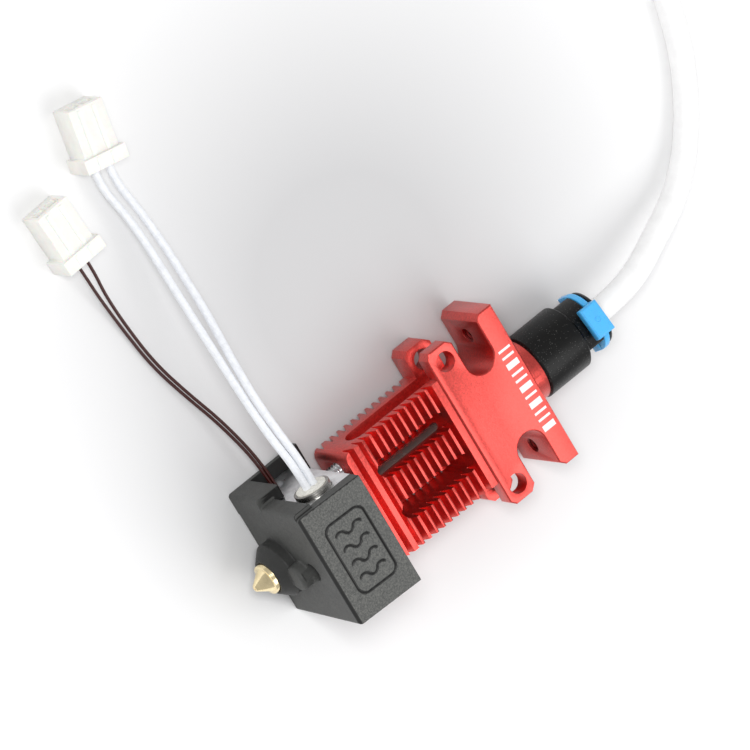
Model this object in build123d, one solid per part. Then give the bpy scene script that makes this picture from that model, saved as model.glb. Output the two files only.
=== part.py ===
"""Hotend assembly of a 3-D printer: finned cooling body, heated end, push-in fitting and leads.

The assembly is drawn standing: X across the front, Y from the front face to the back, Z up along
the filament path, with the nozzle at the bottom. It is then laid on its back on the floor, which
makes Z up, +Y the way to the fitting and +X to the right. The leads and the guide tube are drawn
straight into that lying frame, because they rest on the floor. Lengths are in millimetres.
"""

import math
import os

from build123d import *

os.makedirs("parts", exist_ok=True)

# ---------------------------------------------------------------- driving dimensions
# Head of the cooling body, drawn in the X-Z plane and DEPTH deep
DEPTH = 11.0
HALF_WIDTH = 13.9
ARM_TOP = 11.15
ARM_CORNER = 8.62
NOTCH_TOP = 7.7
NOTCH_BOTTOM = 2.48
EAR_TOP_CORNER = 1.5
EAR_BOTTOM_CORNER = -1.76
EAR_BOTTOM = -2.59
END_CHAMFER = 0.9
NOTCH_REACH = 5.77          # from the middle plane to the round end of the side notch
HEAD_EDGE_CHAMFER = 0.2

# Holes of the head
EAR_HOLE_X = 11.26
EAR_HOLE_R = 1.6
ARM_HOLE_X = 10.2
ARM_HOLE_R = 1.25
ARM_HOLE_DEPTH = 3.0

# Boss under the fitting
BOSS_R = 5.2
BOSS_TOP = 13.2

# Finned part of the cooling body
FIN_HALF_WIDTH = 9.5
FIN_INSET = 0.5             # the fins stand back this far from the front and back of the head
FIN_BOTTOM = -21.9
FIN_PITCH = 1.44
FIN_COUNT = 11
FIN_FIRST = -3.54
FIN_TIP = 0.45
GROOVE_DEPTH = 2.2
GROOVE_ROOT = 0.15          # flat at the bottom of a groove
THICK_FIN_TOP = -18.97
THICK_FIN_BOTTOM = -19.87
BASE_TOP = -20.86
BASE_FILLET = 1.4

# Long slots beside the filament path and tool channels in the sides
SLOT_X = 3.8
SLOT_WIDTH = 3.3
SLOT_TOP = -3.9
SLOT_BOTTOM = -18.3
SLOT_DEPTH = 8.7
CHANNEL_Y = 4.75
CHANNEL_R = 2.0
CHANNEL_X = 8.5             # middle of the round bottom of the channel
CHANNEL_BOTTOM = -18.3

# Filament path
AXIS_Y = DEPTH / 2
BREAK_R = 2.66
BREAK_TOP = 1.0
BREAK_NECK_R = 2.0
BREAK_TAPER = 0.4
BREAK_THREAD_R = 3.0
BREAK_THREAD_TOP = -26.0
MELT_PLANE = -31.0          # where the heat break meets the nozzle
LINER_R = 2.0
LINER_HOLE_R = 1.0
LINER_BOTTOM = -20.0
FIT = 0.04                  # radial clearance of a sliding or pushed fit
TUBE_CLEAR = 0.06           # radial clearance around the liner

# Heated end
BLOCK_LEFT = -9.4
BLOCK_RIGHT = 8.4
BLOCK_FRONT = -6.9
BLOCK_BACK = 11.5
BLOCK_TOP = -25.4
BLOCK_BOTTOM = -35.6
BLOCK_CHAMFER = 0.3
SENSOR_Z = -30.4            # height of the heater and thermistor bores
HEATER_Y = -3.1
HEATER_R = 2.96
HEATER_END = -10.3
HEATER_STOP = 8.2
HEATER_WALL = 0.5
SEAL_DEPTH = 1.0
SEAL_PROUD = 0.2
THERMISTOR_Y = 9.0
THERMISTOR_R = 1.46
THERMISTOR_END = -8.0
THERMISTOR_STOP = -3.6
CLAMP_R = 1.25
CLAMP_GAP = 0.1
CLAMP_RECESS = 0.1
SOCKET_R = 0.75
SOCKET_DEPTH = 1.1
HEATER_CLAMP_X = 0.5
THERMISTOR_CLAMP_X = -5.6

# Threaded studs that tie the block to the cooling body
STUD_X = 6.45
STUD_Y = 4.75
STUD_R = 1.45
STUD_TOP = -19.0
STUD_BOTTOM = -31.4
THREAD_PITCH = 0.5
THREAD_DEPTH = 0.28

# Nozzle
HEX_R = 3.4
HEX_BOTTOM = -38.9
COLLAR_R = 2.5
COLLAR_BOTTOM = -40.9
CONE_R = 2.05
TIP_R = 0.5
TIP = -43.1
ORIFICE_R = 0.2
ORIFICE_LENGTH = 1.0

# Silicone sock
SOCK_HALF_WIDTH = 9.65
SOCK_FRONT_BOTTOM = -8.8
SOCK_FRONT_TOP = -9.8
SOCK_TOP = -25.6
SOCK_BOTTOM_FRONT = -37.4
SOCK_BOTTOM_BACK = -36.3
SOCK_BACK = 12.6
SOCK_FIT = 0.05
BULGE_LEFT = -11.7
BULGE_FRONT = 3.0
LIP_LEFT = -10.3
LIP_FRONT = -8.0
LIP_FRONT_Z = -34.0
LIP_BACK_Z = -32.3
FLAP_TOP = -22.8
FLAP_RIGHT = -7.0
BOOT_R = 4.6
BOOT_CYLINDER = -38.5
BOOT_TIP_R = 2.95
BOOT_TIP = -40.3
BOOT_HOLE_R = 3.5
ACCESS_R = 1.5
LUG_X = 0.9                 # round lug beside the boot
LUG_Y = 0.1
LUG_R = 2.1
LUG_BOTTOM = -39.0
SOCK_EDGE = 0.6
SIGN_MIDDLE_Z = -31.3       # engraved heat sign on the front panel: a frame and rising waves
SIGN_WIDTH = 12.4
SIGN_HEIGHT = 7.4
SIGN_CORNER = 1.6
SIGN_LINE = 0.28
SIGN_DEPTH = 0.22
WAVE_COUNT = 4
WAVE_BOWS = 3
WAVE_SPACING = 2.5
WAVE_RUN = 1.6              # height of one bow of a wave
WAVE_SWING = 0.5

# Push-in fitting
STUB_R = 3.0
STUB_BOTTOM = 5.2
BODY_R = 5.47
BODY_BOTTOM = 13.3
BODY_STEP = 21.9
BODY_EDGE = 0.3
BODY_SHOULDER = 0.4
BODY_TOP = 24.8
BODY_TOP_R = 5.05
FLAT_NEAR = 3.75            # wrench flat on the right
FLAT_FAR = 4.55             # wrench flat on the left
FLAT_TURN = -20.0
CHAMBER_R = 3.6
CHAMBER_BOTTOM = 17.0
COLLET_R = 3.4
COLLET_BOTTOM = 18.2
CAP_BOTTOM = 26.4
CAP_TOP = 26.95
CAP_R = 4.65
CAP_CHAMFER = 0.2
JAW_R = 2.9
JAW_BOTTOM = 18.6
JAW_TOP = 20.4
JAW_BEVEL = 0.5

# Locking clip
CLIP_BOTTOM = 25.05
CLIP_TOP = 26.05
CLIP_R = 4.95
CLIP_THROAT_R = 3.6
CLIP_ARM = 2.6              # straight part of each arm behind the middle
CLIP_TURN = -13.5
TAB_WIDTH = 5.3
TAB_HEIGHT = 3.3
TAB_FACE = 6.8              # from the filament path to the outer face of the tab
TAB_THICKNESS = 1.5
TAB_DROP = 2.1              # the tab reaches this far below the ring
TAB_EDGE = 0.4

# Lying frame
STANDING_MIDDLE = (TIP + CAP_TOP) / 2
LIE_DOWN = Location((0, -STANDING_MIDDLE, SOCK_BACK), (-90, 0, 0))

# Leads
HEATER_WIRE_R = 0.62
HEATER_WIRE_GAP = 1.3       # between the two wires where they leave the heater
THERMISTOR_WIRE_R = 0.25
THERMISTOR_WIRE_GAP = 0.55
PLUG_PITCH = 2.5
PLUG_WIDTH = 7.4
PLUG_LENGTH = 9.8
PLUG_THICKNESS = 5.75
PLUG_FLANGE = 2.2
PLUG_NARROWING = 0.7
PLUG_SLOT = 1.9
CONTACT_SIZE = 1.5
CONTACT_LENGTH = 7.6
CONTACT_WALL = 0.35
HEATER_PLUG_RUN = 3.0       # straight stretch of a wire behind its plug
THERMISTOR_PLUG_RUN = 2.5
HEATER_WIRE_Y = PLUG_PITCH / 2
THERMISTOR_WIRE_Y = 0.8     # the thin wires lean towards each other in the plug
HEATER_PLUG = Location((-65.9, -19.3, PLUG_THICKNESS / 2), (0, 0, -11))
THERMISTOR_PLUG = Location((-56.2, -29.9, PLUG_THICKNESS / 2), (0, 0, 3))

# Guide tube and its coil
TUBE_R = 2.0
COIL_MIDDLE = (-46.5, 102.7)
COIL_ARRIVAL = -104.0       # where on the ring the tube joins it, in degrees from +X
TUBE_ARRIVAL_Z = 3.2
COIL_R = 22.0
COIL_HALF_WIDTH = 4.0
COIL_HEIGHT = 8.0
COIL_FLOOR = 0.8
TIE_WIDTH = 3.0
TIE_THICKNESS = 0.8
TIE_ANGLE = 165.0
TIE_CLEAR = 0.1


# ---------------------------------------------------------------- small helpers
def block(x_range, y_range, z_range):
    """Box between two limits on each axis."""
    (x0, x1), (y0, y1), (z0, z1) = x_range, y_range, z_range
    centre = Pos((x0 + x1) / 2, (y0 + y1) / 2, (z0 + z1) / 2)
    return centre * Box(x1 - x0, y1 - y0, z1 - z0)


def rod(radius, z0, z1, x=0.0, y=AXIS_Y):
    """Upright cylinder between two heights."""
    return Pos(x, y, (z0 + z1) / 2) * Cylinder(radius, abs(z1 - z0))


def rod_x(radius, x0, x1, y, z):
    """Cylinder along X between two places."""
    return Pos((x0 + x1) / 2, y, z) * Rot(0, 90, 0) * Cylinder(radius, abs(x1 - x0))


def rod_y(radius, y0, y1, x, z):
    """Cylinder along Y between two places."""
    return Pos(x, (y0 + y1) / 2, z) * Rot(90, 0, 0) * Cylinder(radius, abs(y1 - y0))


def spun(profile, x=0.0, y=AXIS_Y):
    """Body of revolution about the upright line through (x, y), from (radius, height) points."""
    face = Plane.XZ * make_face(Polyline(*profile, close=True))
    return Pos(x, y, 0) * revolve(face, Axis.Z)


def along_x(outline, half_length, middle=0.0):
    """Prism along X from (y, z) points."""
    face = Plane.YZ * make_face(Polyline(*outline, close=True))
    return Pos(middle, 0, 0) * extrude(face, amount=half_length, both=True)


def save(name, shape, lie=True):
    """Write one node, laid on its back unless it was drawn lying."""
    placed = LIE_DOWN * shape if lie else shape
    solids = placed.solids()
    placed = solids[0] if len(solids) == 1 else Compound(children=list(solids))
    placed.label = name
    export_step(placed, f"parts/{name}.step")
    print(f"{name:26s} solids {len(solids)}  volume {placed.volume:9.2f}")


# ---------------------------------------------------------------- cooling body
def head():
    """T-shaped head with two arms above the notches and two ears below them."""
    notch_r = (NOTCH_TOP - NOTCH_BOTTOM) / 2
    notch_mid = (NOTCH_TOP + NOTCH_BOTTOM) / 2
    notch_x = NOTCH_REACH + notch_r
    inner = HALF_WIDTH - END_CHAMFER
    right = [
        Line((0, EAR_BOTTOM), (inner, EAR_BOTTOM)),
        Line((inner, EAR_BOTTOM), (HALF_WIDTH, EAR_BOTTOM_CORNER)),
        Line((HALF_WIDTH, EAR_BOTTOM_CORNER), (HALF_WIDTH, EAR_TOP_CORNER)),
        Line((HALF_WIDTH, EAR_TOP_CORNER), (inner, NOTCH_BOTTOM)),
        Line((inner, NOTCH_BOTTOM), (notch_x, NOTCH_BOTTOM)),
        ThreePointArc((notch_x, NOTCH_BOTTOM), (NOTCH_REACH, notch_mid), (notch_x, NOTCH_TOP)),
        Line((notch_x, NOTCH_TOP), (inner, NOTCH_TOP)),
        Line((inner, NOTCH_TOP), (HALF_WIDTH, ARM_CORNER)),
        Line((HALF_WIDTH, ARM_CORNER), (HALF_WIDTH, ARM_TOP)),
        Line((HALF_WIDTH, ARM_TOP), (0, ARM_TOP)),
        Line((0, ARM_TOP), (0, EAR_BOTTOM)),
    ]
    half = make_face(Curve() + right)
    outline = Plane.XZ * (half + mirror(half, Plane.YZ))
    shape = extrude(outline, amount=-DEPTH)
    front_edges = shape.faces().sort_by(Axis.Y)[0].edges()
    return chamfer(front_edges, HEAD_EDGE_CHAMFER)


def groove_heights():
    """Upper and lower edge of each groove mouth, from the head down."""
    gap = FIN_PITCH - FIN_TIP
    tips = [FIN_FIRST - FIN_PITCH * index for index in range(FIN_COUNT)]
    spans = [(tip + FIN_TIP / 2 + gap, tip + FIN_TIP / 2) for tip in tips[1:]]
    spans.append((tips[-1] - FIN_TIP / 2, THICK_FIN_TOP))
    spans.append((THICK_FIN_BOTTOM, BASE_TOP))
    return spans


def fin_groove(upper, lower, side):
    """One groove across the fins: side is 0 for the front and 1 for the back."""
    face_y = FIN_INSET if side == 0 else DEPTH - FIN_INSET
    inward = 1 if side == 0 else -1
    outside = face_y - inward
    root = face_y + inward * GROOVE_DEPTH
    outline = [
        (outside, upper),
        (face_y, upper),
        (root, lower + GROOVE_ROOT),
        (root, lower),
        (outside, lower),
    ]
    return along_x(outline, FIN_HALF_WIDTH + 1)


def long_slot(x):
    """Round-ended slot from the front, into the filament bore."""
    r = SLOT_WIDTH / 2
    start, end = FIN_INSET - 1, SLOT_DEPTH
    middle = block((x - r, x + r), (start, end), (SLOT_BOTTOM + r, SLOT_TOP - r))
    return middle + rod_y(r, start, end, x, SLOT_TOP - r) + rod_y(r, start, end, x, SLOT_BOTTOM + r)


def tool_channel(side):
    """Channel down the side face and through the ear, with a round end at the bottom."""
    top = NOTCH_BOTTOM + 1
    ball_z = CHANNEL_BOTTOM + CHANNEL_R
    x = side * CHANNEL_X
    outer = side * (HALF_WIDTH + 1)
    y_range = (CHANNEL_Y - CHANNEL_R, CHANNEL_Y + CHANNEL_R)
    cut = rod(CHANNEL_R, ball_z, top, x, CHANNEL_Y) + Pos(x, CHANNEL_Y, ball_z) * Sphere(CHANNEL_R)
    cut += block(sorted((x, outer)), y_range, (ball_z, top))
    return cut + rod_x(CHANNEL_R, *sorted((x, outer)), CHANNEL_Y, ball_z)


def heat_sink():
    """The cooling body, one machined piece."""
    fins = block(
        (-FIN_HALF_WIDTH, FIN_HALF_WIDTH), (FIN_INSET, DEPTH - FIN_INSET), (FIN_BOTTOM, EAR_BOTTOM)
    )
    low_edges = [
        edge for edge in fins.edges().filter_by(Axis.Y) if edge.center().Z < FIN_BOTTOM + 0.1
    ]
    fins = fillet(low_edges, BASE_FILLET)
    for upper, lower in groove_heights():
        fins -= fin_groove(upper, lower, 0)
        fins -= fin_groove(upper, lower, 1)
    body = head() + fins + rod(BOSS_R, ARM_TOP - 1, BOSS_TOP)
    for side in (-1, 1):
        body -= long_slot(side * SLOT_X)
        body -= tool_channel(side)
        body -= rod_y(EAR_HOLE_R, -1, DEPTH + 1, side * EAR_HOLE_X, 0)
        body -= rod(ARM_HOLE_R, NOTCH_TOP - 1, NOTCH_TOP + ARM_HOLE_DEPTH, side * ARM_HOLE_X)
        body -= rod(STUD_R + FIT, FIN_BOTTOM - 1, STUD_TOP + FIT, side * STUD_X, STUD_Y)
    body -= rod(BREAK_R + FIT, FIN_BOTTOM - 1, BREAK_TOP)
    body -= rod(LINER_R + TUBE_CLEAR, BREAK_TOP - 1, STUB_BOTTOM + 1)
    body -= rod(STUB_R + FIT, STUB_BOTTOM, BOSS_TOP + 1)
    return body


# ---------------------------------------------------------------- filament path and heated end
def heat_break():
    """Steel tube with a thin neck under the cooling body and a thread in the block."""
    bore = LINER_R + TUBE_CLEAR
    profile = [
        (bore, BREAK_TOP),
        (BREAK_R, BREAK_TOP),
        (BREAK_R, FIN_BOTTOM + BREAK_TAPER),
        (BREAK_NECK_R, FIN_BOTTOM),
        (BREAK_NECK_R, BREAK_THREAD_TOP),
        (BREAK_THREAD_R, BREAK_THREAD_TOP),
        (BREAK_THREAD_R, MELT_PLANE),
        (LINER_HOLE_R, MELT_PLANE),
        (LINER_HOLE_R, LINER_BOTTOM),
        (bore, LINER_BOTTOM),
    ]
    return spun(profile)


def heater_block():
    """Aluminium block with bores for the heater, the thermistor, the studs and the screws."""
    body = block((BLOCK_LEFT, BLOCK_RIGHT), (BLOCK_FRONT, BLOCK_BACK), (BLOCK_BOTTOM, BLOCK_TOP))
    body = chamfer(body.edges().filter_by(Axis.X), BLOCK_CHAMFER)
    body -= rod(BREAK_THREAD_R + FIT, BLOCK_BOTTOM - 1, BLOCK_TOP + 1)
    body -= rod_x(HEATER_R + FIT, BLOCK_LEFT - 1, BLOCK_RIGHT + 1, HEATER_Y, SENSOR_Z)
    body -= rod_x(THERMISTOR_R + FIT, BLOCK_LEFT - 1, THERMISTOR_STOP + FIT, THERMISTOR_Y, SENSOR_Z)
    for side in (-1, 1):
        body -= rod(STUD_R + FIT, STUD_BOTTOM - FIT, BLOCK_TOP + 1, side * STUD_X, STUD_Y)
    body -= rod(CLAMP_R + FIT, BLOCK_BOTTOM - 1, SENSOR_Z, HEATER_CLAMP_X, HEATER_Y)
    body -= rod(CLAMP_R + FIT, BLOCK_BOTTOM - 1, SENSOR_Z, THERMISTOR_CLAMP_X, THERMISTOR_Y)
    return body


def clamp_screw(x, y, bore_r):
    """Headless screw under a bore, with a six-sided socket."""
    top = SENSOR_Z - bore_r - CLAMP_GAP
    screw = rod(CLAMP_R, BLOCK_BOTTOM + CLAMP_RECESS, top, x, y)
    socket = Pos(x, y, BLOCK_BOTTOM) * extrude(RegularPolygon(SOCKET_R, 6), SOCKET_DEPTH)
    return screw - socket


def nozzle():
    """Brass nozzle: thread, six-sided grip, collar and cone."""
    profile = [
        (LINER_HOLE_R, MELT_PLANE),
        (BREAK_THREAD_R, MELT_PLANE),
        (BREAK_THREAD_R, BLOCK_BOTTOM),
        (COLLAR_R, BLOCK_BOTTOM),
        (COLLAR_R, COLLAR_BOTTOM),
        (CONE_R, COLLAR_BOTTOM),
        (TIP_R, TIP),
        (ORIFICE_R, TIP),
        (ORIFICE_R, TIP + ORIFICE_LENGTH),
        (LINER_HOLE_R, TIP + 2 * ORIFICE_LENGTH),
    ]
    grip = Pos(0, AXIS_Y, HEX_BOTTOM) * extrude(RegularPolygon(HEX_R, 6), BLOCK_BOTTOM - HEX_BOTTOM)
    grip -= rod(LINER_HOLE_R, HEX_BOTTOM - 1, BLOCK_BOTTOM + 1)
    return spun(profile) + grip


def heater_cartridge():
    """Steel sleeve of the heater, open at the lead end for its seal."""
    sleeve = rod_x(HEATER_R, HEATER_END, HEATER_STOP, HEATER_Y, SENSOR_Z)
    pocket = rod_x(HEATER_R - HEATER_WALL, HEATER_END - 1, HEATER_END + SEAL_DEPTH, HEATER_Y, SENSOR_Z)
    return sleeve - pocket


def heater_end_seal():
    """Ceramic seal that the heater wires leave through."""
    start = HEATER_END - SEAL_PROUD
    return rod_x(HEATER_R - HEATER_WALL, start, HEATER_END + SEAL_DEPTH, HEATER_Y, SENSOR_Z)


def stud(side):
    """Threaded stud; its thread is cut as rings where it shows between block and fins."""
    rings = []
    height = FIN_BOTTOM
    while height > BLOCK_TOP + THREAD_PITCH / 2:
        rings.append((STUD_R, height))
        rings.append((STUD_R - THREAD_DEPTH, height - THREAD_PITCH / 2))
        height -= THREAD_PITCH
    profile = [
        (0, STUD_TOP),
        (STUD_R, STUD_TOP),
        *rings,
        (STUD_R, height),
        (STUD_R, STUD_BOTTOM),
        (0, STUD_BOTTOM),
    ]
    return spun(profile, side * STUD_X, STUD_Y)


def sock_floor(y):
    """Height of the sock's sloping underside at a depth."""
    slope = (SOCK_BOTTOM_BACK - SOCK_BOTTOM_FRONT) / (SOCK_BACK - SOCK_FRONT_BOTTOM)
    return SOCK_BOTTOM_FRONT + slope * (y - SOCK_FRONT_BOTTOM)


def rounded_low(shape, limit_x):
    """Round the low edges of a sock piece that lie to the left of a limit."""
    low = [
        edge
        for edge in shape.edges()
        if edge.center().Z < SOCK_BOTTOM_BACK + SOCK_EDGE / 2 and edge.center().X < limit_x
    ]
    return fillet(low, SOCK_EDGE)


def sock_side(left, y_range, top):
    """Stretch of the sock's left side that reaches out past the main shell."""
    right = BLOCK_LEFT + 2 * SOCK_EDGE
    front, back = y_range
    outline = [(front, sock_floor(front)), (back, sock_floor(back)), (back, top), (front, top)]
    middle = (left + right) / 2
    return rounded_low(along_x(outline, (right - left) / 2, middle), middle - SOCK_FIT)


def heat_sign():
    """Frame and rising waves to engrave in the sock's front panel."""
    inner_size = (SIGN_WIDTH - 2 * SIGN_LINE, SIGN_HEIGHT - 2 * SIGN_LINE)
    frame = RectangleRounded(SIGN_WIDTH, SIGN_HEIGHT, SIGN_CORNER)
    frame -= RectangleRounded(*inner_size, SIGN_CORNER - SIGN_LINE)
    bows = []
    for wave in range(WAVE_COUNT):
        x = (wave - (WAVE_COUNT - 1) / 2) * WAVE_SPACING
        for bow in range(WAVE_BOWS):
            low = (bow - WAVE_BOWS / 2) * WAVE_RUN
            swing = WAVE_SWING if bow % 2 else -WAVE_SWING
            bows.append(ThreePointArc((x, low), (x + swing, low + WAVE_RUN / 2), (x, low + WAVE_RUN)))
    sign = frame + trace(bows, SIGN_LINE)
    rise = SOCK_TOP - SOCK_BOTTOM_FRONT
    lean = SOCK_FRONT_TOP - SOCK_FRONT_BOTTOM
    y = SOCK_FRONT_BOTTOM + lean * (SIGN_MIDDLE_Z - SOCK_BOTTOM_FRONT) / rise
    panel = Plane(origin=(0, y, SIGN_MIDDLE_Z), x_dir=(1, 0, 0), z_dir=(0, -rise, lean))
    return extrude(panel * sign, amount=SIGN_DEPTH, both=True)


def silicone_sock():
    """Soft cover: open on the left above a low lip, with a flap at the back and a nozzle boot."""
    shell_outline = [
        (SOCK_FRONT_BOTTOM, SOCK_BOTTOM_FRONT),
        (SOCK_BACK, SOCK_BOTTOM_BACK),
        (SOCK_BACK, SOCK_TOP),
        (SOCK_FRONT_TOP, SOCK_TOP),
    ]
    shell = rounded_low(along_x(shell_outline, SOCK_HALF_WIDTH), SOCK_HALF_WIDTH + 1)
    shell += sock_side(LIP_LEFT, (LIP_FRONT, BULGE_FRONT), LIP_FRONT_Z)
    shell += sock_side(BULGE_LEFT, (BULGE_FRONT, SOCK_BACK), SOCK_TOP)
    inner_front = BLOCK_FRONT - SOCK_FIT
    inner_back = BLOCK_BACK + SOCK_FIT
    over_top = FLAP_TOP + 1
    outside = (BULGE_LEFT - 1, BLOCK_LEFT)
    shell += block((BULGE_LEFT, FLAP_RIGHT), (inner_back, SOCK_BACK), (SOCK_TOP - 1, FLAP_TOP))
    shell -= block(
        (BLOCK_LEFT - SOCK_FIT, BLOCK_RIGHT + SOCK_FIT),
        (inner_front, inner_back),
        (BLOCK_BOTTOM - SOCK_FIT, over_top),
    )
    shell -= block(outside, (inner_front, BULGE_FRONT), (LIP_FRONT_Z, over_top))
    shell -= block(outside, (BULGE_FRONT, inner_back), (LIP_BACK_Z, over_top))
    boot = [
        (0, BLOCK_BOTTOM - 1),
        (BOOT_R, BLOCK_BOTTOM - 1),
        (BOOT_R, BOOT_CYLINDER),
        (BOOT_TIP_R, BOOT_TIP),
        (0, BOOT_TIP),
    ]
    lug = rod(LUG_R, LUG_BOTTOM, BLOCK_BOTTOM - 1, LUG_X, LUG_Y)
    shell += spun(boot) + fillet(lug.edges().sort_by(Axis.Z)[0], SOCK_EDGE)
    shell -= rod(BOOT_HOLE_R, HEX_BOTTOM - SOCK_FIT, BLOCK_BOTTOM + 1)
    shell -= rod(COLLAR_R + SOCK_FIT, BOOT_TIP - 1, HEX_BOTTOM)
    shell -= rod(ACCESS_R, SOCK_BOTTOM_FRONT - 1, BLOCK_BOTTOM + 1, HEATER_CLAMP_X, HEATER_Y)
    return shell - heat_sign()


# ---------------------------------------------------------------- push-in fitting
def fitting_body():
    """Body of the fitting: threaded stub, barrel and a stepped top with wrench flats."""
    bore = LINER_R + TUBE_CLEAR
    profile = [
        (bore, STUB_BOTTOM),
        (STUB_R, STUB_BOTTOM),
        (STUB_R, BODY_BOTTOM),
        (BODY_R - BODY_EDGE, BODY_BOTTOM),
        (BODY_R, BODY_BOTTOM + BODY_EDGE),
        (BODY_R, BODY_STEP - BODY_SHOULDER),
        (BODY_TOP_R, BODY_STEP),
        (BODY_TOP_R, BODY_TOP),
        (CHAMBER_R, BODY_TOP),
        (CHAMBER_R, CHAMBER_BOTTOM),
        (bore, CHAMBER_BOTTOM),
    ]
    body = spun(profile)
    reach = BODY_R + 1
    flats = block((FLAT_NEAR, reach), (-reach, reach), (BODY_STEP, BODY_TOP + 1))
    flats += block((-reach, -FLAT_FAR), (-reach, reach), (BODY_STEP, BODY_TOP + 1))
    return body - Pos(0, AXIS_Y, 0) * Rot(0, 0, FLAT_TURN) * flats


def fitting_collet():
    """Release collet: a sleeve in the body and a round cap on top."""
    bore = LINER_R + TUBE_CLEAR
    profile = [
        (JAW_R + FIT, COLLET_BOTTOM),
        (COLLET_R, COLLET_BOTTOM),
        (COLLET_R, CAP_BOTTOM),
        (CAP_R, CAP_BOTTOM),
        (CAP_R, CAP_TOP - CAP_CHAMFER),
        (CAP_R - CAP_CHAMFER, CAP_TOP),
        (bore, CAP_TOP),
        (bore, JAW_TOP + FIT),
        (JAW_R + FIT, JAW_TOP + FIT),
    ]
    return spun(profile)


def collet_jaws():
    """Steel gripping ring at the inner end of the collet."""
    bore = LINER_R + TUBE_CLEAR
    profile = [(bore, JAW_TOP), (JAW_R, JAW_TOP), (JAW_R, JAW_BOTTOM), (bore + JAW_BEVEL, JAW_BOTTOM)]
    return spun(profile)


def collet_clip():
    """C-shaped locking clip: two arms around the collet and an upright pull tab in front."""
    thickness = CLIP_TOP - CLIP_BOTTOM
    middle = (CLIP_TOP + CLIP_BOTTOM) / 2
    ring = Pos(0, 0, middle) * Cylinder(CLIP_R, thickness)
    ring += block((-CLIP_R, CLIP_R), (0, CLIP_ARM), (CLIP_BOTTOM, CLIP_TOP))
    half_tab = TAB_WIDTH / 2
    tab_middle = TAB_THICKNESS / 2 - TAB_FACE
    ring += block((-half_tab, half_tab), (tab_middle, -CLIP_THROAT_R), (CLIP_BOTTOM, CLIP_TOP))
    ring -= Pos(0, 0, middle) * Cylinder(CLIP_THROAT_R, thickness + 1)
    ring -= block((-CLIP_THROAT_R, CLIP_THROAT_R), (0, CLIP_R + 1), (CLIP_BOTTOM - 1, CLIP_TOP + 1))
    ring -= block((-CLIP_R, CLIP_R), (CLIP_ARM, CLIP_R + 1), (CLIP_BOTTOM - 1, CLIP_TOP + 1))
    tab = block(
        (-half_tab, half_tab),
        (-TAB_FACE, TAB_THICKNESS - TAB_FACE),
        (CLIP_BOTTOM - TAB_DROP, CLIP_BOTTOM - TAB_DROP + TAB_HEIGHT),
    )
    tab = fillet(tab.faces().sort_by(Axis.Y)[0].edges(), TAB_EDGE)
    return Pos(0, AXIS_Y, 0) * Rot(0, 0, CLIP_TURN) * (ring + tab)


# ---------------------------------------------------------------- leads, drawn lying
def corner_radii(points):
    """Radius of the arc at each inner point: 0.45 of the shorter run over tan(half the turn)."""
    radii = []
    for before, here, after in zip(points, points[1:], points[2:]):
        first = Vector(*here) - Vector(*before)
        second = Vector(*after) - Vector(*here)
        half_turn = math.radians(first.get_angle(second)) / 2
        radii.append(0.45 * min(first.length, second.length) / math.tan(half_turn))
    return radii


def cord(name, points, radius):
    """Round cord along straight runs joined by tangent arcs."""
    radii = corner_radii(points)
    path = FilletPolyline(*points, radius=radii)
    start = Plane(origin=path @ 0, z_dir=path % 0)
    solid = sweep(start * Circle(radius), path=path)
    expected = math.pi * radius**2 * path.length
    print(
        f"{name}: length {path.length:.1f}, least radius {min(radii):.1f}, "
        f"volume {solid.volume:.1f} of {expected:.1f}"
    )
    return solid


def lying(x, y, z):
    """Place of a standing point in the lying frame."""
    return tuple((LIE_DOWN * Pos(x, y, z)).position)


def onward(point, dx=0.0, dy=0.0):
    """The point a straight step further along X or Y."""
    return (point[0] + dx, point[1] + dy, point[2])


def on_ring(angle, height):
    """Point over the middle line of the coil, at an angle from +X."""
    turn = math.radians(angle)
    return (COIL_MIDDLE[0] + COIL_R * math.cos(turn), COIL_MIDDLE[1] + COIL_R * math.sin(turn), height)


def plug_entry(plug, y, back=0.0):
    """Where a wire enters a plug, at a place across its width, or a point that far behind it."""
    return tuple((plug * Pos(back, y, 0)).position)


def plug_housing(plug):
    """Two-way plug with a flange at the wire end; its wires enter from +X."""
    half = PLUG_WIDTH / 2
    thick = PLUG_THICKNESS / 2
    narrow = half - PLUG_NARROWING
    body = block((-PLUG_FLANGE, 0), (-half, half), (-thick, thick))
    body += block((-PLUG_LENGTH, -PLUG_FLANGE), (-narrow, narrow), (-thick, thick - PLUG_NARROWING))
    for side in (-1, 1):
        y = side * PLUG_PITCH / 2
        slot = PLUG_SLOT / 2
        body -= block((-PLUG_LENGTH - 1, 1), (y - slot, y + slot), (-slot, slot))
    return plug * body


def plug_contacts(plug):
    """Two crimped contacts inside a plug."""
    half = CONTACT_SIZE / 2
    inner = half - CONTACT_WALL
    contacts = []
    for side in (-1, 1):
        y = side * PLUG_PITCH / 2
        bar = block((-CONTACT_LENGTH, 0), (y - half, y + half), (-half, half))
        mouth = block((-CONTACT_LENGTH - 1, -CONTACT_LENGTH / 2), (y - inner, y + inner), (-inner, inner))
        contacts.append(plug * (bar - mouth))
    return Compound(children=contacts)


SEAL_FACE = HEATER_END - SEAL_PROUD
HEATER_EXIT_A = lying(SEAL_FACE, HEATER_Y, SENSOR_Z - HEATER_WIRE_GAP / 2)
HEATER_EXIT_B = lying(SEAL_FACE, HEATER_Y, SENSOR_Z + HEATER_WIRE_GAP / 2)
THERMISTOR_EXIT_A = lying(THERMISTOR_END, THERMISTOR_Y, SENSOR_Z - THERMISTOR_WIRE_GAP / 2)
THERMISTOR_EXIT_B = lying(THERMISTOR_END, THERMISTOR_Y, SENSOR_Z + THERMISTOR_WIRE_GAP / 2)

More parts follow.
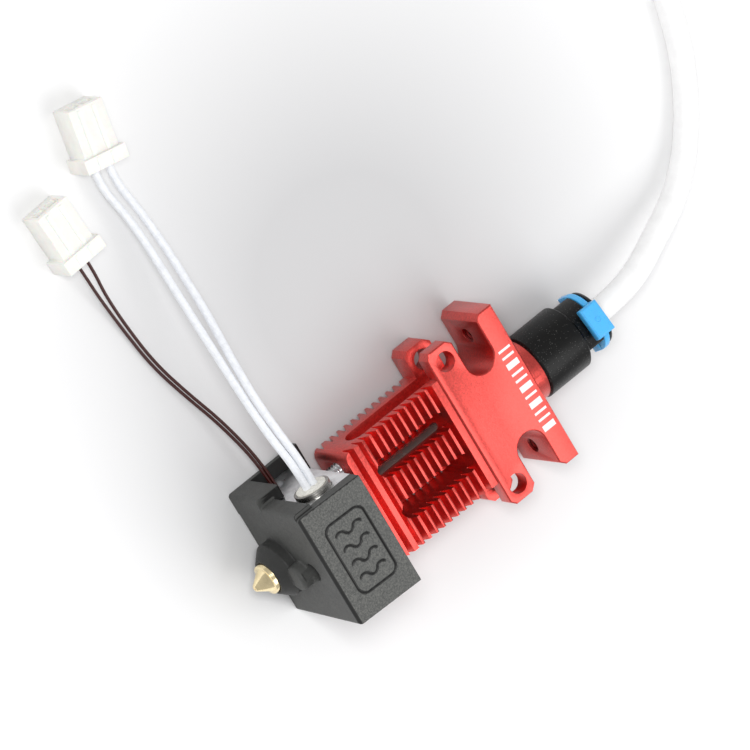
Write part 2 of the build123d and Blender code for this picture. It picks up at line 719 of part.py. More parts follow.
HEATER_ROUTE_A = [
    HEATER_EXIT_A,
    onward(HEATER_EXIT_A, dx=-4.2),
    (-20.1, -23.6, 15.2),
    (-26.6, -23.3, 13.5),
    (-33.3, -22.5, 11.0),
    (-39.9, -21.6, 8.4),
    (-46.5, -20.8, 6.1),
    (-53.1, -20.2, 4.4),
    (-58.0, -20.3, 3.5),
    plug_entry(HEATER_PLUG, -HEATER_WIRE_Y, HEATER_PLUG_RUN),
    plug_entry(HEATER_PLUG, -HEATER_WIRE_Y),
]
HEATER_ROUTE_B = [
    HEATER_EXIT_B,
    onward(HEATER_EXIT_B, dx=-4.0),
    (-19.4, -22.2, 15.7),
    (-25.9, -22.3, 14.6),
    (-32.4, -21.1, 11.9),
    (-38.6, -19.5, 8.9),
    (-45.1, -18.5, 6.4),
    (-51.5, -17.9, 4.5),
    (-57.3, -18.0, 3.5),
    plug_entry(HEATER_PLUG, HEATER_WIRE_Y, HEATER_PLUG_RUN),
    plug_entry(HEATER_PLUG, HEATER_WIRE_Y),
]
THERMISTOR_ROUTE_A = [
    THERMISTOR_EXIT_A,
    onward(THERMISTOR_EXIT_A, dx=-5.2),
    (-21.9, -24.1, 2.1),
    (-28.7, -26.2, 1.2),
    (-35.4, -28.0, 0.6),
    (-42.6, -29.0, 0.8),
    (-49.2, -30.0, 1.8),
    plug_entry(THERMISTOR_PLUG, -THERMISTOR_WIRE_Y, THERMISTOR_PLUG_RUN),
    plug_entry(THERMISTOR_PLUG, -THERMISTOR_WIRE_Y),
]
THERMISTOR_ROUTE_B = [
    THERMISTOR_EXIT_B,
    onward(THERMISTOR_EXIT_B, dx=-5.2),
    (-22.0, -23.6, 2.5),
    (-28.8, -25.7, 1.6),
    (-35.5, -27.5, 1.1),
    (-42.5, -28.4, 1.2),
    (-49.0, -29.0, 1.9),
    plug_entry(THERMISTOR_PLUG, THERMISTOR_WIRE_Y, THERMISTOR_PLUG_RUN),
    plug_entry(THERMISTOR_PLUG, THERMISTOR_WIRE_Y),
]
TUBE_EXIT = lying(0, AXIS_Y, CAP_TOP)
TUBE_ROUTE = [
    TUBE_EXIT,
    onward(TUBE_EXIT, dy=4.2),
    (-0.8, 45.3, 6.7),
    (-3.1, 51.9, 5.4),
    (-5.3, 58.6, 3.8),
    (-9.5, 64.5, 2.7),
    (-16.1, 69.5, 2.3),
    (-23.0, 72.8, 2.4),
    (-30.3, 74.6, 2.8),
    (-41.3, 77.2, 3.0),
    on_ring(COIL_ARRIVAL, TUBE_ARRIVAL_Z),
]


def bowden_coil():
    """Outer shape of the coiled length of guide tube."""
    ring = Cylinder(COIL_R + COIL_HALF_WIDTH, COIL_HEIGHT) - Cylinder(COIL_R - COIL_HALF_WIDTH, COIL_HEIGHT)
    return Pos(*COIL_MIDDLE, COIL_FLOOR + COIL_HEIGHT / 2) * ring


def coil_tie():
    """Strap around the coil."""
    across = 2 * (COIL_HALF_WIDTH + TIE_CLEAR)
    tall = COIL_HEIGHT + 2 * FIT
    strap = Box(across + 2 * TIE_THICKNESS, TIE_WIDTH, tall + 2 * (TIE_THICKNESS - FIT))
    strap -= Box(across, TIE_WIDTH + 1, tall)
    place = Pos(*COIL_MIDDLE, COIL_FLOOR + COIL_HEIGHT / 2) * Rot(0, 0, TIE_ANGLE)
    return place * Pos(COIL_R, 0, 0) * strap


save("heat_sink", heat_sink())
save("heat_break", heat_break())
save("liner_tube", rod(LINER_R, LINER_BOTTOM, CAP_TOP) - rod(LINER_HOLE_R, LINER_BOTTOM - 1, CAP_TOP + 1))
save("heater_block", heater_block())
save("nozzle", nozzle())
save("silicone_sock", silicone_sock())
save("heater_cartridge", heater_cartridge())
save("heater_end_seal", heater_end_seal())
save("heater_clamp_screw", clamp_screw(HEATER_CLAMP_X, HEATER_Y, HEATER_R))
save("thermistor_cartridge", rod_x(THERMISTOR_R, THERMISTOR_END, THERMISTOR_STOP, THERMISTOR_Y, SENSOR_Z))
save("thermistor_clamp_screw", clamp_screw(THERMISTOR_CLAMP_X, THERMISTOR_Y, THERMISTOR_R))
save("stud_left", stud(-1))
save("stud_right", stud(1))
save("fitting_body", fitting_body())
save("fitting_collet", fitting_collet())
save("collet_jaws", collet_jaws())
save("collet_clip", collet_clip())

save("heater_wire_a", cord("heater_wire_a", HEATER_ROUTE_A, HEATER_WIRE_R), lie=False)
save("heater_wire_b", cord("heater_wire_b", HEATER_ROUTE_B, HEATER_WIRE_R), lie=False)
save("thermistor_wire_a", cord("thermistor_wire_a", THERMISTOR_ROUTE_A, THERMISTOR_WIRE_R), lie=False)
save("thermistor_wire_b", cord("thermistor_wire_b", THERMISTOR_ROUTE_B, THERMISTOR_WIRE_R), lie=False)
save("heater_plug_housing", plug_housing(HEATER_PLUG), lie=False)
save("heater_plug_contacts", plug_contacts(HEATER_PLUG), lie=False)
save("thermistor_plug_housing", plug_housing(THERMISTOR_PLUG), lie=False)
save("thermistor_plug_contacts", plug_contacts(THERMISTOR_PLUG), lie=False)
save("bowden_tube", cord("bowden_tube", TUBE_ROUTE, TUBE_R) - bowden_coil(), lie=False)
save("bowden_coil", bowden_coil(), lie=False)
save("coil_tie", coil_tie(), lie=False)
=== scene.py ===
"""Looks of a 3-D printer hotend: finned cooling body, heated end, push-in fitting and leads.

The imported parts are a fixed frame, and every piece here is placed in that frame, in metres.
+Y runs along the filament path towards the fitting, +Z out of the front face of the head and +X
to its right. The hotend lies on its back, with its leads and guide tube on the floor around it.
"""

from __future__ import annotations

import logging
import math
from dataclasses import dataclass, field
from enum import Enum
from typing import Iterable, Sequence

import bmesh
import bpy
from mathutils import Matrix, Vector

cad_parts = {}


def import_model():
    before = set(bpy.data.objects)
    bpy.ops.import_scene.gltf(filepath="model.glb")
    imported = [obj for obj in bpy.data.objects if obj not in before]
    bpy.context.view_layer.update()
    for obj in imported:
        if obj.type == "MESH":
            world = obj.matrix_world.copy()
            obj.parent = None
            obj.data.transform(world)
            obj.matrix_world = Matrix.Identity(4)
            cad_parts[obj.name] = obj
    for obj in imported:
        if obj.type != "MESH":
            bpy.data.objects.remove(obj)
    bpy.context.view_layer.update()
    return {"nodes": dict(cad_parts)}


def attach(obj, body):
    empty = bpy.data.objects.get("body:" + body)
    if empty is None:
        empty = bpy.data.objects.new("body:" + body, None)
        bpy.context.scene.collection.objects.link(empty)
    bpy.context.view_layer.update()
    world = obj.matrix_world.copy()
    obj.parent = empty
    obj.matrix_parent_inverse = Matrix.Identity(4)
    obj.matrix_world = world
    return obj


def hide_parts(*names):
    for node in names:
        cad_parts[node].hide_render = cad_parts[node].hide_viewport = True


MM = 0.001
GRAIN = 1 / MM
WAVE_BANDS = math.pi / 10
WELD_MM = 0.002
Point = tuple[float, float, float]
Colour = tuple[float, float, float]
LOG = logging.getLogger("hotend")


class Body(Enum):
    """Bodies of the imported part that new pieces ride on."""

    HOTEND = "hotend"
    SOCK = "sock"
    CLIP = "clip"


class Across(Enum):
    """Direction that turned or milled lines run across."""

    X = "X"
    Y = "Y"
    Z = "Z"


# ---------------------------------------------------------------- finishes
class Recipe:
    """Node tree of one finish while it is put together."""

    def __init__(self, name: str, colour: Colour, metallic: float, roughness: float) -> None:
        """Start a material from its plain shader values.

        Args:
            name: Name of the finish.
            colour: Linear base colour.
            metallic: 1 for bare metal, 0 for the rest.
            roughness: Roughness of the shader.
        """
        self.material = bpy.data.materials.new(name)
        self.material.use_nodes = True
        self.tree = self.material.node_tree
        self.shader = self.tree.nodes["Principled BSDF"]
        self.colour = colour
        self.set("Base Color", (*colour, 1.0))
        self.set("Metallic", metallic)
        self.set("Roughness", roughness)
        self.place = self.tree.nodes.new("ShaderNodeTexCoord").outputs["Object"]
        self.normal: bpy.types.NodeSocket | None = None

    def set(self, socket: str, value: float | Sequence[float]) -> None:
        """Set one plain value on the shader."""
        self.shader.inputs[socket].default_value = value

    def noise(self, per_mm: float, detail: float = 3.0, roughness: float = 0.55) -> bpy.types.NodeSocket:
        """Cloudy or grainy pattern.

        Args:
            per_mm: Grains in a millimetre.
            detail: Octaves of finer grain.
            roughness: Strength of the finer grain.

        Returns:
            The pattern's 0 to 1 value.
        """
        node = self.tree.nodes.new("ShaderNodeTexNoise")
        node.inputs["Scale"].default_value = per_mm * GRAIN
        node.inputs["Detail"].default_value = detail
        node.inputs["Roughness"].default_value = roughness
        self.tree.links.new(self.place, node.inputs["Vector"])
        return node.outputs["Fac"]

    def specks(self, per_mm: float) -> bpy.types.NodeSocket:
        """Scattered specks.

        Args:
            per_mm: Specks in a millimetre.

        Returns:
            Distance from the nearest speck's middle, in speck spacings.
        """
        node = self.tree.nodes.new("ShaderNodeTexVoronoi")
        node.inputs["Scale"].default_value = per_mm * GRAIN
        self.tree.links.new(self.place, node.inputs["Vector"])
        return node.outputs["Distance"]

    def lines(self, per_mm: float, across: Across, wander: float) -> bpy.types.NodeSocket:
        """Fine parallel tool lines.

        Args:
            per_mm: Lines in a millimetre.
            across: Direction that the lines follow each other in.
            wander: How far the lines stray from straight.

        Returns:
            The pattern's 0 to 1 value.
        """
        node = self.tree.nodes.new("ShaderNodeTexWave")
        node.bands_direction = across.value
        node.inputs["Scale"].default_value = per_mm * GRAIN * WAVE_BANDS
        node.inputs["Distortion"].default_value = wander
        node.inputs["Detail"].default_value = 2.0
        self.tree.links.new(self.place, node.inputs["Vector"])
        return node.outputs["Fac"]

    def ramp(
        self, value: bpy.types.NodeSocket, stops: Iterable[tuple[float, Colour]]
    ) -> bpy.types.NodeSocket:
        """Colours picked by a value.

        Args:
            value: 0 to 1 value that picks the colour.
            stops: Places from 0 to 1 with the colour at each.

        Returns:
            The colour.
        """
        node = self.tree.nodes.new("ShaderNodeValToRGB")
        marks = node.color_ramp.elements
        stops = list(stops)
        while len(marks) < len(stops):
            marks.new(0.5)
        for mark, (place, colour) in zip(marks, stops):
            mark.position = place
            mark.color = (*colour, 1.0)
        self.tree.links.new(value, node.inputs["Fac"])
        return node.outputs["Color"]

    def spread(self, value: bpy.types.NodeSocket, low: float, high: float) -> bpy.types.NodeSocket:
        """Stretch the middle half of a pattern between two limits.

        Args:
            value: The pattern's 0 to 1 value.
            low: Limit that its dark end is given.
            high: Limit that its light end is given.

        Returns:
            The stretched value.
        """
        node = self.tree.nodes.new("ShaderNodeMapRange")
        node.inputs["From Min"].default_value = 0.25
        node.inputs["From Max"].default_value = 0.75
        node.inputs["To Min"].default_value = low
        node.inputs["To Max"].default_value = high
        self.tree.links.new(value, node.inputs["Value"])
        return node.outputs["Result"]

    def tint(self, value: bpy.types.NodeSocket, dark: float, light: float) -> None:
        """Let the base colour drift between a darker and a lighter shade of itself."""
        stops = [(0.3, tuple(c * dark for c in self.colour)), (0.7, tuple(c * light for c in self.colour))]
        self.feed("Base Color", self.ramp(value, stops))

    def feed(self, socket: str, value: bpy.types.NodeSocket) -> None:
        """Link a pattern to one of the shader's sockets."""
        self.tree.links.new(value, self.shader.inputs[socket])

    def mark(self, name: str) -> bpy.types.NodeSocket:
        """Look up a mark that is painted on the mesh.

        Args:
            name: Name of the mark.

        Returns:
            Its value, from 0 to 1.
        """
        node = self.tree.nodes.new("ShaderNodeAttribute")
        node.attribute_name = name
        return node.outputs["Fac"]

    def mix(
        self, share: bpy.types.NodeSocket, first: bpy.types.NodeSocket, second: bpy.types.NodeSocket | Colour
    ) -> bpy.types.NodeSocket:
        """Blend of two colours.

        Args:
            share: 0 for the first, 1 for the second.
            first: Colour at 0.
            second: Colour at 1.

        Returns:
            The blended colour.
        """
        node = self.tree.nodes.new("ShaderNodeMixRGB")
        self.tree.links.new(share, node.inputs["Fac"])
        self.tree.links.new(first, node.inputs["Color1"])
        if isinstance(second, tuple):
            node.inputs["Color2"].default_value = (*second, 1.0)
        else:
            self.tree.links.new(second, node.inputs["Color2"])
        return node.outputs["Color"]

    def relief(self, value: bpy.types.NodeSocket, height_mm: float, strength: float = 1.0) -> None:
        """Raise and sink the surface by a pattern, on top of any relief so far.

        Args:
            value: Pattern, 1 where it is highest.
            height_mm: Height of the relief.
            strength: Share of the relief that shows.
        """
        node = self.tree.nodes.new("ShaderNodeBump")
        node.inputs["Strength"].default_value = strength
        node.inputs["Distance"].default_value = height_mm * MM
        self.tree.links.new(value, node.inputs["Height"])
        if self.normal is not None:
            self.tree.links.new(self.normal, node.inputs["Normal"])
        self.normal = node.outputs["Normal"]
        self.feed("Normal", self.normal)


@dataclass(frozen=True)
class Anodised:
    """Bead-blasted aluminium with a coloured anodised coat."""

    name: str = "red_anodised"
    colour: Colour = (0.70, 0.075, 0.062)
    roughness: float = 0.32

    def material(self) -> bpy.types.Material:
        """Build the material.

        Returns:
            The material.
        """
        recipe = Recipe(self.name, self.colour, 0.95, self.roughness)
        recipe.set("Coat Weight", 0.4)
        recipe.set("Coat Roughness", 0.4)
        grain = recipe.noise(2.8, 4.0, 0.75)
        recipe.tint(grain, 0.76, 1.22)
        recipe.feed("Roughness", recipe.spread(grain, self.roughness - 0.06, self.roughness + 0.08))
        recipe.relief(grain, 0.04, 0.8)
        return recipe.material


@dataclass(frozen=True)
class TurnedMetal:
    """Bare metal with the fine rings or lines that a cutter leaves."""

    name: str
    colour: Colour
    roughness: float
    across: Across = Across.Y
    lines_per_mm: float = 4.0
    depth_mm: float = 0.004
    stain: float = 0.16
    metallic: float = 1.0

    def material(self) -> bpy.types.Material:
        """Build the material.

        Returns:
            The material.
        """
        recipe = Recipe(self.name, self.colour, self.metallic, self.roughness)
        cuts = recipe.lines(self.lines_per_mm, self.across, 0.6)
        stain = recipe.noise(0.6)
        recipe.tint(stain, 1 - self.stain, 1 + self.stain / 2)
        recipe.feed("Roughness", recipe.spread(stain, self.roughness - 0.04, self.roughness + 0.06))
        recipe.relief(cuts, self.depth_mm)
        recipe.relief(recipe.noise(5.0), 0.003, 0.5)
        return recipe.material


@dataclass(frozen=True)
class Silicone:
    """Matt moulded silicone: a grainy front panel with painted glints, smooth sides, painted shade in the
    sign's grooves, along the panel's edges and in the cavity, and a darker boot.
    """

    name: str = "black_silicone"
    colour: Colour = (0.062, 0.063, 0.060)
    # dark is the colour of the painted shade in the grooves, along the edges and in the cavity, and of the
    # darkened boot.
    dark: Colour = (0.006, 0.006, 0.006)
    # Pale colour of the specks on the front panel's grain, painted as glints.
    painted_glint: Colour = (0.17, 0.17, 0.155)
    painted_shade_mark: str = "painted_shade"
    panel_mark: str = "panel"

    def material(self) -> bpy.types.Material:
        """Build the material.

        Returns:
            The material.
        """
        recipe = Recipe(self.name, self.colour, 0.0, 0.6)
        recipe.set("Specular IOR Level", 0.30)
        grain = recipe.noise(3.6, 3.0, 0.7)
        pale, paler = (tuple(c * share for c in self.colour) for share in (1.25, 1.6))
        # Front panel: real grain, with its palest specks painted as glints.
        panel = recipe.ramp(grain, [(0.36, self.colour), (0.50, paler), (0.72, self.painted_glint)])
        side = recipe.ramp(recipe.noise(0.8), [(0.3, self.colour), (0.7, pale)])
        plain = recipe.mix(recipe.mark(self.panel_mark), side, panel)
        # Painted shade: the mark mixes in the dark colour in the grooves, along the edges, in the cavity and
        # on the boot.
        recipe.feed("Base Color", recipe.mix(recipe.mark(self.painted_shade_mark), plain, self.dark))
        recipe.feed("Roughness", recipe.spread(grain, 0.44, 0.66))
        recipe.relief(grain, 0.03, 0.5)
        recipe.relief(recipe.noise(6.0, 2.0), 0.008, 0.5)
        return recipe.material


@dataclass(frozen=True)
class SpeckledCoat:
    """Black coat on metal with small pale specks."""

    name: str = "speckled_black"
    colour: Colour = (0.004, 0.004, 0.0038)

    def material(self) -> bpy.types.Material:
        """Build the material.

        Returns:
            The material.
        """
        recipe = Recipe(self.name, self.colour, 0.0, 0.36)
        recipe.set("Specular IOR Level", 0.24)
        specks = recipe.specks(3.2)
        pale = tuple(c * 50 for c in self.colour)
        recipe.feed("Base Color", recipe.ramp(specks, [(0.06, pale), (0.16, self.colour)]))
        pits = recipe.noise(3.5)
        recipe.feed("Roughness", recipe.spread(pits, 0.28, 0.48))
        recipe.relief(pits, 0.014, 0.6)
        return recipe.material


@dataclass(frozen=True)
class Moulded:
    """Injection-moulded plastic with a faint orange-peel skin."""

    name: str
    colour: Colour
    roughness: float
    glow: float = 0.0
    skin_per_mm: float = 2.5
    skin_mm: float = 0.006

    def material(self) -> bpy.types.Material:
        """Build the material.

        Returns:
            The material.
        """
        recipe = Recipe(self.name, self.colour, 0.0, self.roughness)
        recipe.set("Subsurface Weight", self.glow)
        recipe.set("Subsurface Scale", 0.5 * MM)
        skin = recipe.noise(self.skin_per_mm)
        recipe.tint(recipe.noise(0.5), 0.96, 1.03)
        recipe.feed("Roughness", recipe.spread(skin, self.roughness - 0.05, self.roughness + 0.07))
        recipe.relief(skin, self.skin_mm, 0.5)
        return recipe.material


@dataclass(frozen=True)
class WovenSleeve:
    """Fine woven sleeve of a hot lead."""

    name: str = "woven_sleeve"
    colour: Colour = (0.88, 0.90, 0.94)

    def material(self) -> bpy.types.Material:
        """Build the material.

        Returns:
            The material.
        """
        recipe = Recipe(self.name, self.colour, 0.0, 0.55)
        recipe.set("Sheen Weight", 0.25)
        weave = recipe.lines(3.2, Across.X, 3.0)
        cross = recipe.lines(3.2, Across.Y, 3.0)
        recipe.tint(recipe.noise(1.2), 0.92, 1.05)
        recipe.relief(weave, 0.03, 0.6)
        recipe.relief(cross, 0.03, 0.6)
        return recipe.material


@dataclass(frozen=True)
class Ceramic:
    """Fired ceramic, chalky and slightly chipped."""

    name: str = "ceramic_seal"
    colour: Colour = (0.92, 0.90, 0.82)

    def material(self) -> bpy.types.Material:
        """Build the material.

        Returns:
            The material.
        """
        recipe = Recipe(self.name, self.colour, 0.0, 0.5)
        crumbs = recipe.noise(2.2, 5.0, 0.7)
        recipe.tint(crumbs, 0.72, 1.12)
        recipe.feed("Roughness", recipe.spread(crumbs, 0.30, 0.65))
        recipe.relief(crumbs, 0.12, 0.8)
        return recipe.material


@dataclass(frozen=True)
class Backdrop:
    """Plain pale paper under and behind the part, with a soft painted shadow that greys it near the part's
    middle.
    """

    name: str = "pale_paper"
    # near is the grey of the painted shadow at its middle, and reach is how far that shadow spreads; far is
    # the plain paper.
    near: Colour = (0.62, 0.62, 0.625)
    far: Colour = (0.98, 0.98, 0.98)
    middle: Point = (-26.0, 7.0, 0.0)
    reach: float = 66.0

    def material(self) -> bpy.types.Material:
        """Build the material.

        Returns:
            The material.
        """
        recipe = Recipe(self.name, self.far, 0.0, 0.9)
        recipe.set("Specular IOR Level", 0.1)
        shift = recipe.tree.nodes.new("ShaderNodeMapping")
        shift.inputs["Location"].default_value = [-c / self.reach for c in self.middle]
        shift.inputs["Scale"].default_value = (GRAIN / self.reach,) * 3
        painted_shadow_gradient = recipe.tree.nodes.new("ShaderNodeTexGradient")
        painted_shadow_gradient.gradient_type = "SPHERICAL"
        recipe.tree.links.new(recipe.place, shift.inputs["Vector"])
        recipe.tree.links.new(shift.outputs["Vector"], painted_shadow_gradient.inputs["Vector"])
        # Painted shadow: the paper greys from far to near towards the middle.
        fade = recipe.ramp(painted_shadow_gradient.outputs["Fac"], [(0.0, self.far), (0.75, self.near)])
        recipe.feed("Base Color", fade)
        recipe.relief(recipe.noise(1.5), 0.004, 0.3)
        return recipe.material


class Finishes:
    """Every finish of the hotend, each built once."""

    def __init__(self) -> None:
        """Build the materials."""
        self.red = Anodised().material()
        # Darker copy of the red that paints the shade inside the arm holes.
        self.painted_shade_red = Anodised("painted_shade_red", (0.20, 0.012, 0.010), 0.4).material()
        self.steel = TurnedMetal("turned_steel", (0.24, 0.24, 0.22), 0.24, metallic=0.55).material()
        self.milled = TurnedMetal(
            "milled_aluminium", (0.86, 0.87, 0.88), 0.30, Across.Z, lines_per_mm=2.2
        ).material()
        self.thread = TurnedMetal("stud_steel", (0.62, 0.62, 0.63), 0.22, lines_per_mm=3.0).material()
        self.cartridge = TurnedMetal(
            "cartridge_steel", (0.34, 0.33, 0.31), 0.26, Across.X, lines_per_mm=3.0
        ).material()
        self.brass = TurnedMetal(
            "turned_brass", (0.98, 0.82, 0.50), 0.18, lines_per_mm=3.5, depth_mm=0.003
        ).material()
        self.tinned = TurnedMetal(
            "tinned_contact", (0.80, 0.80, 0.79), 0.25, Across.X, lines_per_mm=3.0
        ).material()
        self.silicone = Silicone().material()
        self.coat = SpeckledCoat().material()
        self.black = Moulded("black_plastic", (0.009, 0.009, 0.010), 0.30).material()
        self.blue = Moulded("blue_plastic", (0.08, 0.49, 0.95), 0.30, glow=0.15).material()
        self.ivory = Moulded("ivory_plastic", (0.93, 0.92, 0.87), 0.42, glow=0.2).material()
        self.tube = Moulded(
            "guide_tube_white", (0.98, 0.98, 0.975), 0.4, skin_per_mm=1.0, skin_mm=0.002
        ).material()
        self.lead = Moulded("dark_lead", (0.045, 0.006, 0.004), 0.34).material()
        self.ink = Moulded("white_ink", (0.90, 0.90, 0.90), 0.55, skin_per_mm=6.0).material()
        self.sleeve = WovenSleeve().material()
        self.ceramic = Ceramic().material()
        self.paper = Backdrop().material()


# ---------------------------------------------------------------- making pieces
def soften(node: bpy.types.Object, width_mm: float, angle: float = 32.0) -> None:
    """Break the sharp edges of a carried-over part and shade its round faces smooth.

    Args:
        node: The part.
        width_mm: Width of the broken edge.
        angle: Edges that turn by more than this many degrees are broken.
    """
    weld = node.modifiers.new("weld", "WELD")
    weld.merge_threshold = WELD_MM * MM
    bevel = node.modifiers.new("edges", "BEVEL")
    bevel.width = width_mm * MM
    bevel.segments = 2
    bevel.limit_method = "ANGLE"
    bevel.angle_limit = math.radians(angle)
    bevel.use_clamp_overlap = True
    bevel.harden_normals = False
    mesh = node.data
    mesh.polygons.foreach_set("use_smooth", [True] * len(mesh.polygons))
    mesh.set_sharp_from_angle(angle=math.radians(angle))


def dress(node: bpy.types.Object, material: bpy.types.Material, edge_mm: float = 0.0) -> None:
    """Give a carried-over part its finish.

    Args:
        node: The part.
        material: Its finish.
        edge_mm: Width of the broken edges, or 0 to leave them.
    """
    node.data.materials.clear()
    node.data.materials.append(material)
    if edge_mm:
        soften(node, edge_mm)
    LOG.info("dressed %s in %s", node.name, material.name)


def piece_from(
    name: str, work: bmesh.types.BMesh, material: bpy.types.Material, body: Body
) -> bpy.types.Object:
    """Turn a finished mesh into a piece that rides on a body.

    Args:
        name: Name of the piece.
        work: The mesh, in metres in the frame of the part. It is freed here.
        material: Its finish.
        body: The body it rides on.

    Returns:
        The piece.
    """
    mesh = bpy.data.meshes.new(name)
    bmesh.ops.recalc_face_normals(work, faces=work.faces)
    work.to_mesh(mesh)
    work.free()
    mesh.materials.append(material)
    piece = bpy.data.objects.new(name, mesh)
    bpy.context.scene.collection.objects.link(piece)
    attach(piece, body.value)
    LOG.info("made %s", name)
    return piece


def slab(work: bmesh.types.BMesh, low: Sequence[float], high: Sequence[float], place: Matrix) -> None:
    """Add a box between two corners.

    Args:
        work: Mesh that it is added to.
        low: Its lowest corner, in millimetres in the frame of the place.
        high: Its highest corner, in the same way.
        place: Where that frame is, in metres.
    """
    size = [(b - a) * MM for a, b in zip(low, high)]
    middle = [(a + b) / 2 * MM for a, b in zip(low, high)]
    shape = Matrix.Translation(middle) @ Matrix.Diagonal((*size, 1.0))
    bmesh.ops.create_cube(work, size=1.0, matrix=place @ shape)


def lathe(
    work: bmesh.types.BMesh, profile: Sequence[tuple[float, float]], place: Matrix, segments: int = 40
) -> None:
    """Spin a closed outline about the Z axis of a place.

    Args:
        work: Mesh that it is added to.
        profile: Points as radius and height, in millimetres, in order round the outline.
        place: Where its axis and its zero height are, in metres.
        segments: Sides of the round shape.
    """
    rings = []
    for index in range(segments):
        turn = 2 * math.pi * index / segments
        points = [(r * math.cos(turn) * MM, r * math.sin(turn) * MM, h * MM) for r, h in profile]
        rings.append([work.verts.new(place @ Vector(point)) for point in points])
    count = len(profile)
    for ring, following in zip(rings, rings[1:] + rings[:1]):
        for index in range(count):
            other = (index + 1) % count
            corners = (ring[index], following[index], following[other], ring[other])
            work.faces.new(corners)


@dataclass
class Lead:
    """A free cord that follows a route on one smooth curve."""

    name: str
    route: list[Point]
    diameter: float
    length: float
    material: bpy.types.Material
    slot: str
    replaces: tuple[str, ...]
    far_end: str
    stiffness: str
    lay: str = "loose"
    with_pieces: tuple[str, ...] = ()
    sides: int = 6

    def build(self) -> bpy.types.Object:
        """Make the cord, in place of its plain solids.

        Returns:
            The cord.
        """
        curve = bpy.data.curves.new(self.name, "CURVE")
        curve.dimensions = "3D"
        curve.bevel_depth = self.diameter / 2 * MM
        curve.bevel_resolution = self.sides
        curve.use_fill_caps = True
        curve.resolution_u = 10
        spline = curve.splines.new("NURBS")
        spline.points.add(len(self.route) - 1)
        for point, (x, y, z) in zip(spline.points, self.route):
            point.co = (x * MM, y * MM, z * MM, 1.0)
        spline.order_u = 3
        spline.use_endpoint_u = True
        curve.materials.append(self.material)
        piece = bpy.data.objects.new(self.name, curve)
        bpy.context.scene.collection.objects.link(piece)
        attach(piece, Body.HOTEND.value)
        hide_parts(*self.replaces)
        LOG.info("laid %s", self.name)
        return piece


def moulded_copy(
    node: bpy.types.Object, name: str, voxel_mm: float, rounds: int, keep: float
) -> bpy.types.Object:
    """Rebuild a carried-over part as one soft moulded skin with rounded edges.

    Args:
        node: The part it is rebuilt from.
        name: Name of the new piece.
        voxel_mm: Size of the cells that the skin is rebuilt from.
        rounds: Rounds of smoothing, which set how round the edges are.
        keep: Share of the faces that is kept.

    Returns:
        The new piece, which rides on nothing yet.
    """
    work = bpy.data.objects.new(name, node.data.copy())
    work.data.transform(Matrix.Scale(GRAIN, 4))
    bpy.context.scene.collection.objects.link(work)
    weld = work.modifiers.new("weld", "WELD")
    weld.merge_threshold = WELD_MM
    skin = work.modifiers.new("skin", "REMESH")
    skin.mode = "VOXEL"
    skin.voxel_size = voxel_mm
    smooth = work.modifiers.new("smooth", "SMOOTH")
    smooth.factor = 0.5
    smooth.iterations = rounds
    fewer = work.modifiers.new("fewer", "DECIMATE")
    fewer.ratio = keep
    graph = bpy.context.evaluated_depsgraph_get()
    mesh = bpy.data.meshes.new_from_object(work.evaluated_get(graph), depsgraph=graph)
    bpy.data.objects.remove(work)
    mesh.transform(Matrix.Scale(MM, 4))
    mesh.polygons.foreach_set("use_smooth", [True] * len(mesh.polygons))
    mesh.materials.clear()
    piece = bpy.data.objects.new(name, mesh)
    bpy.context.scene.collection.objects.link(piece)
    return piece


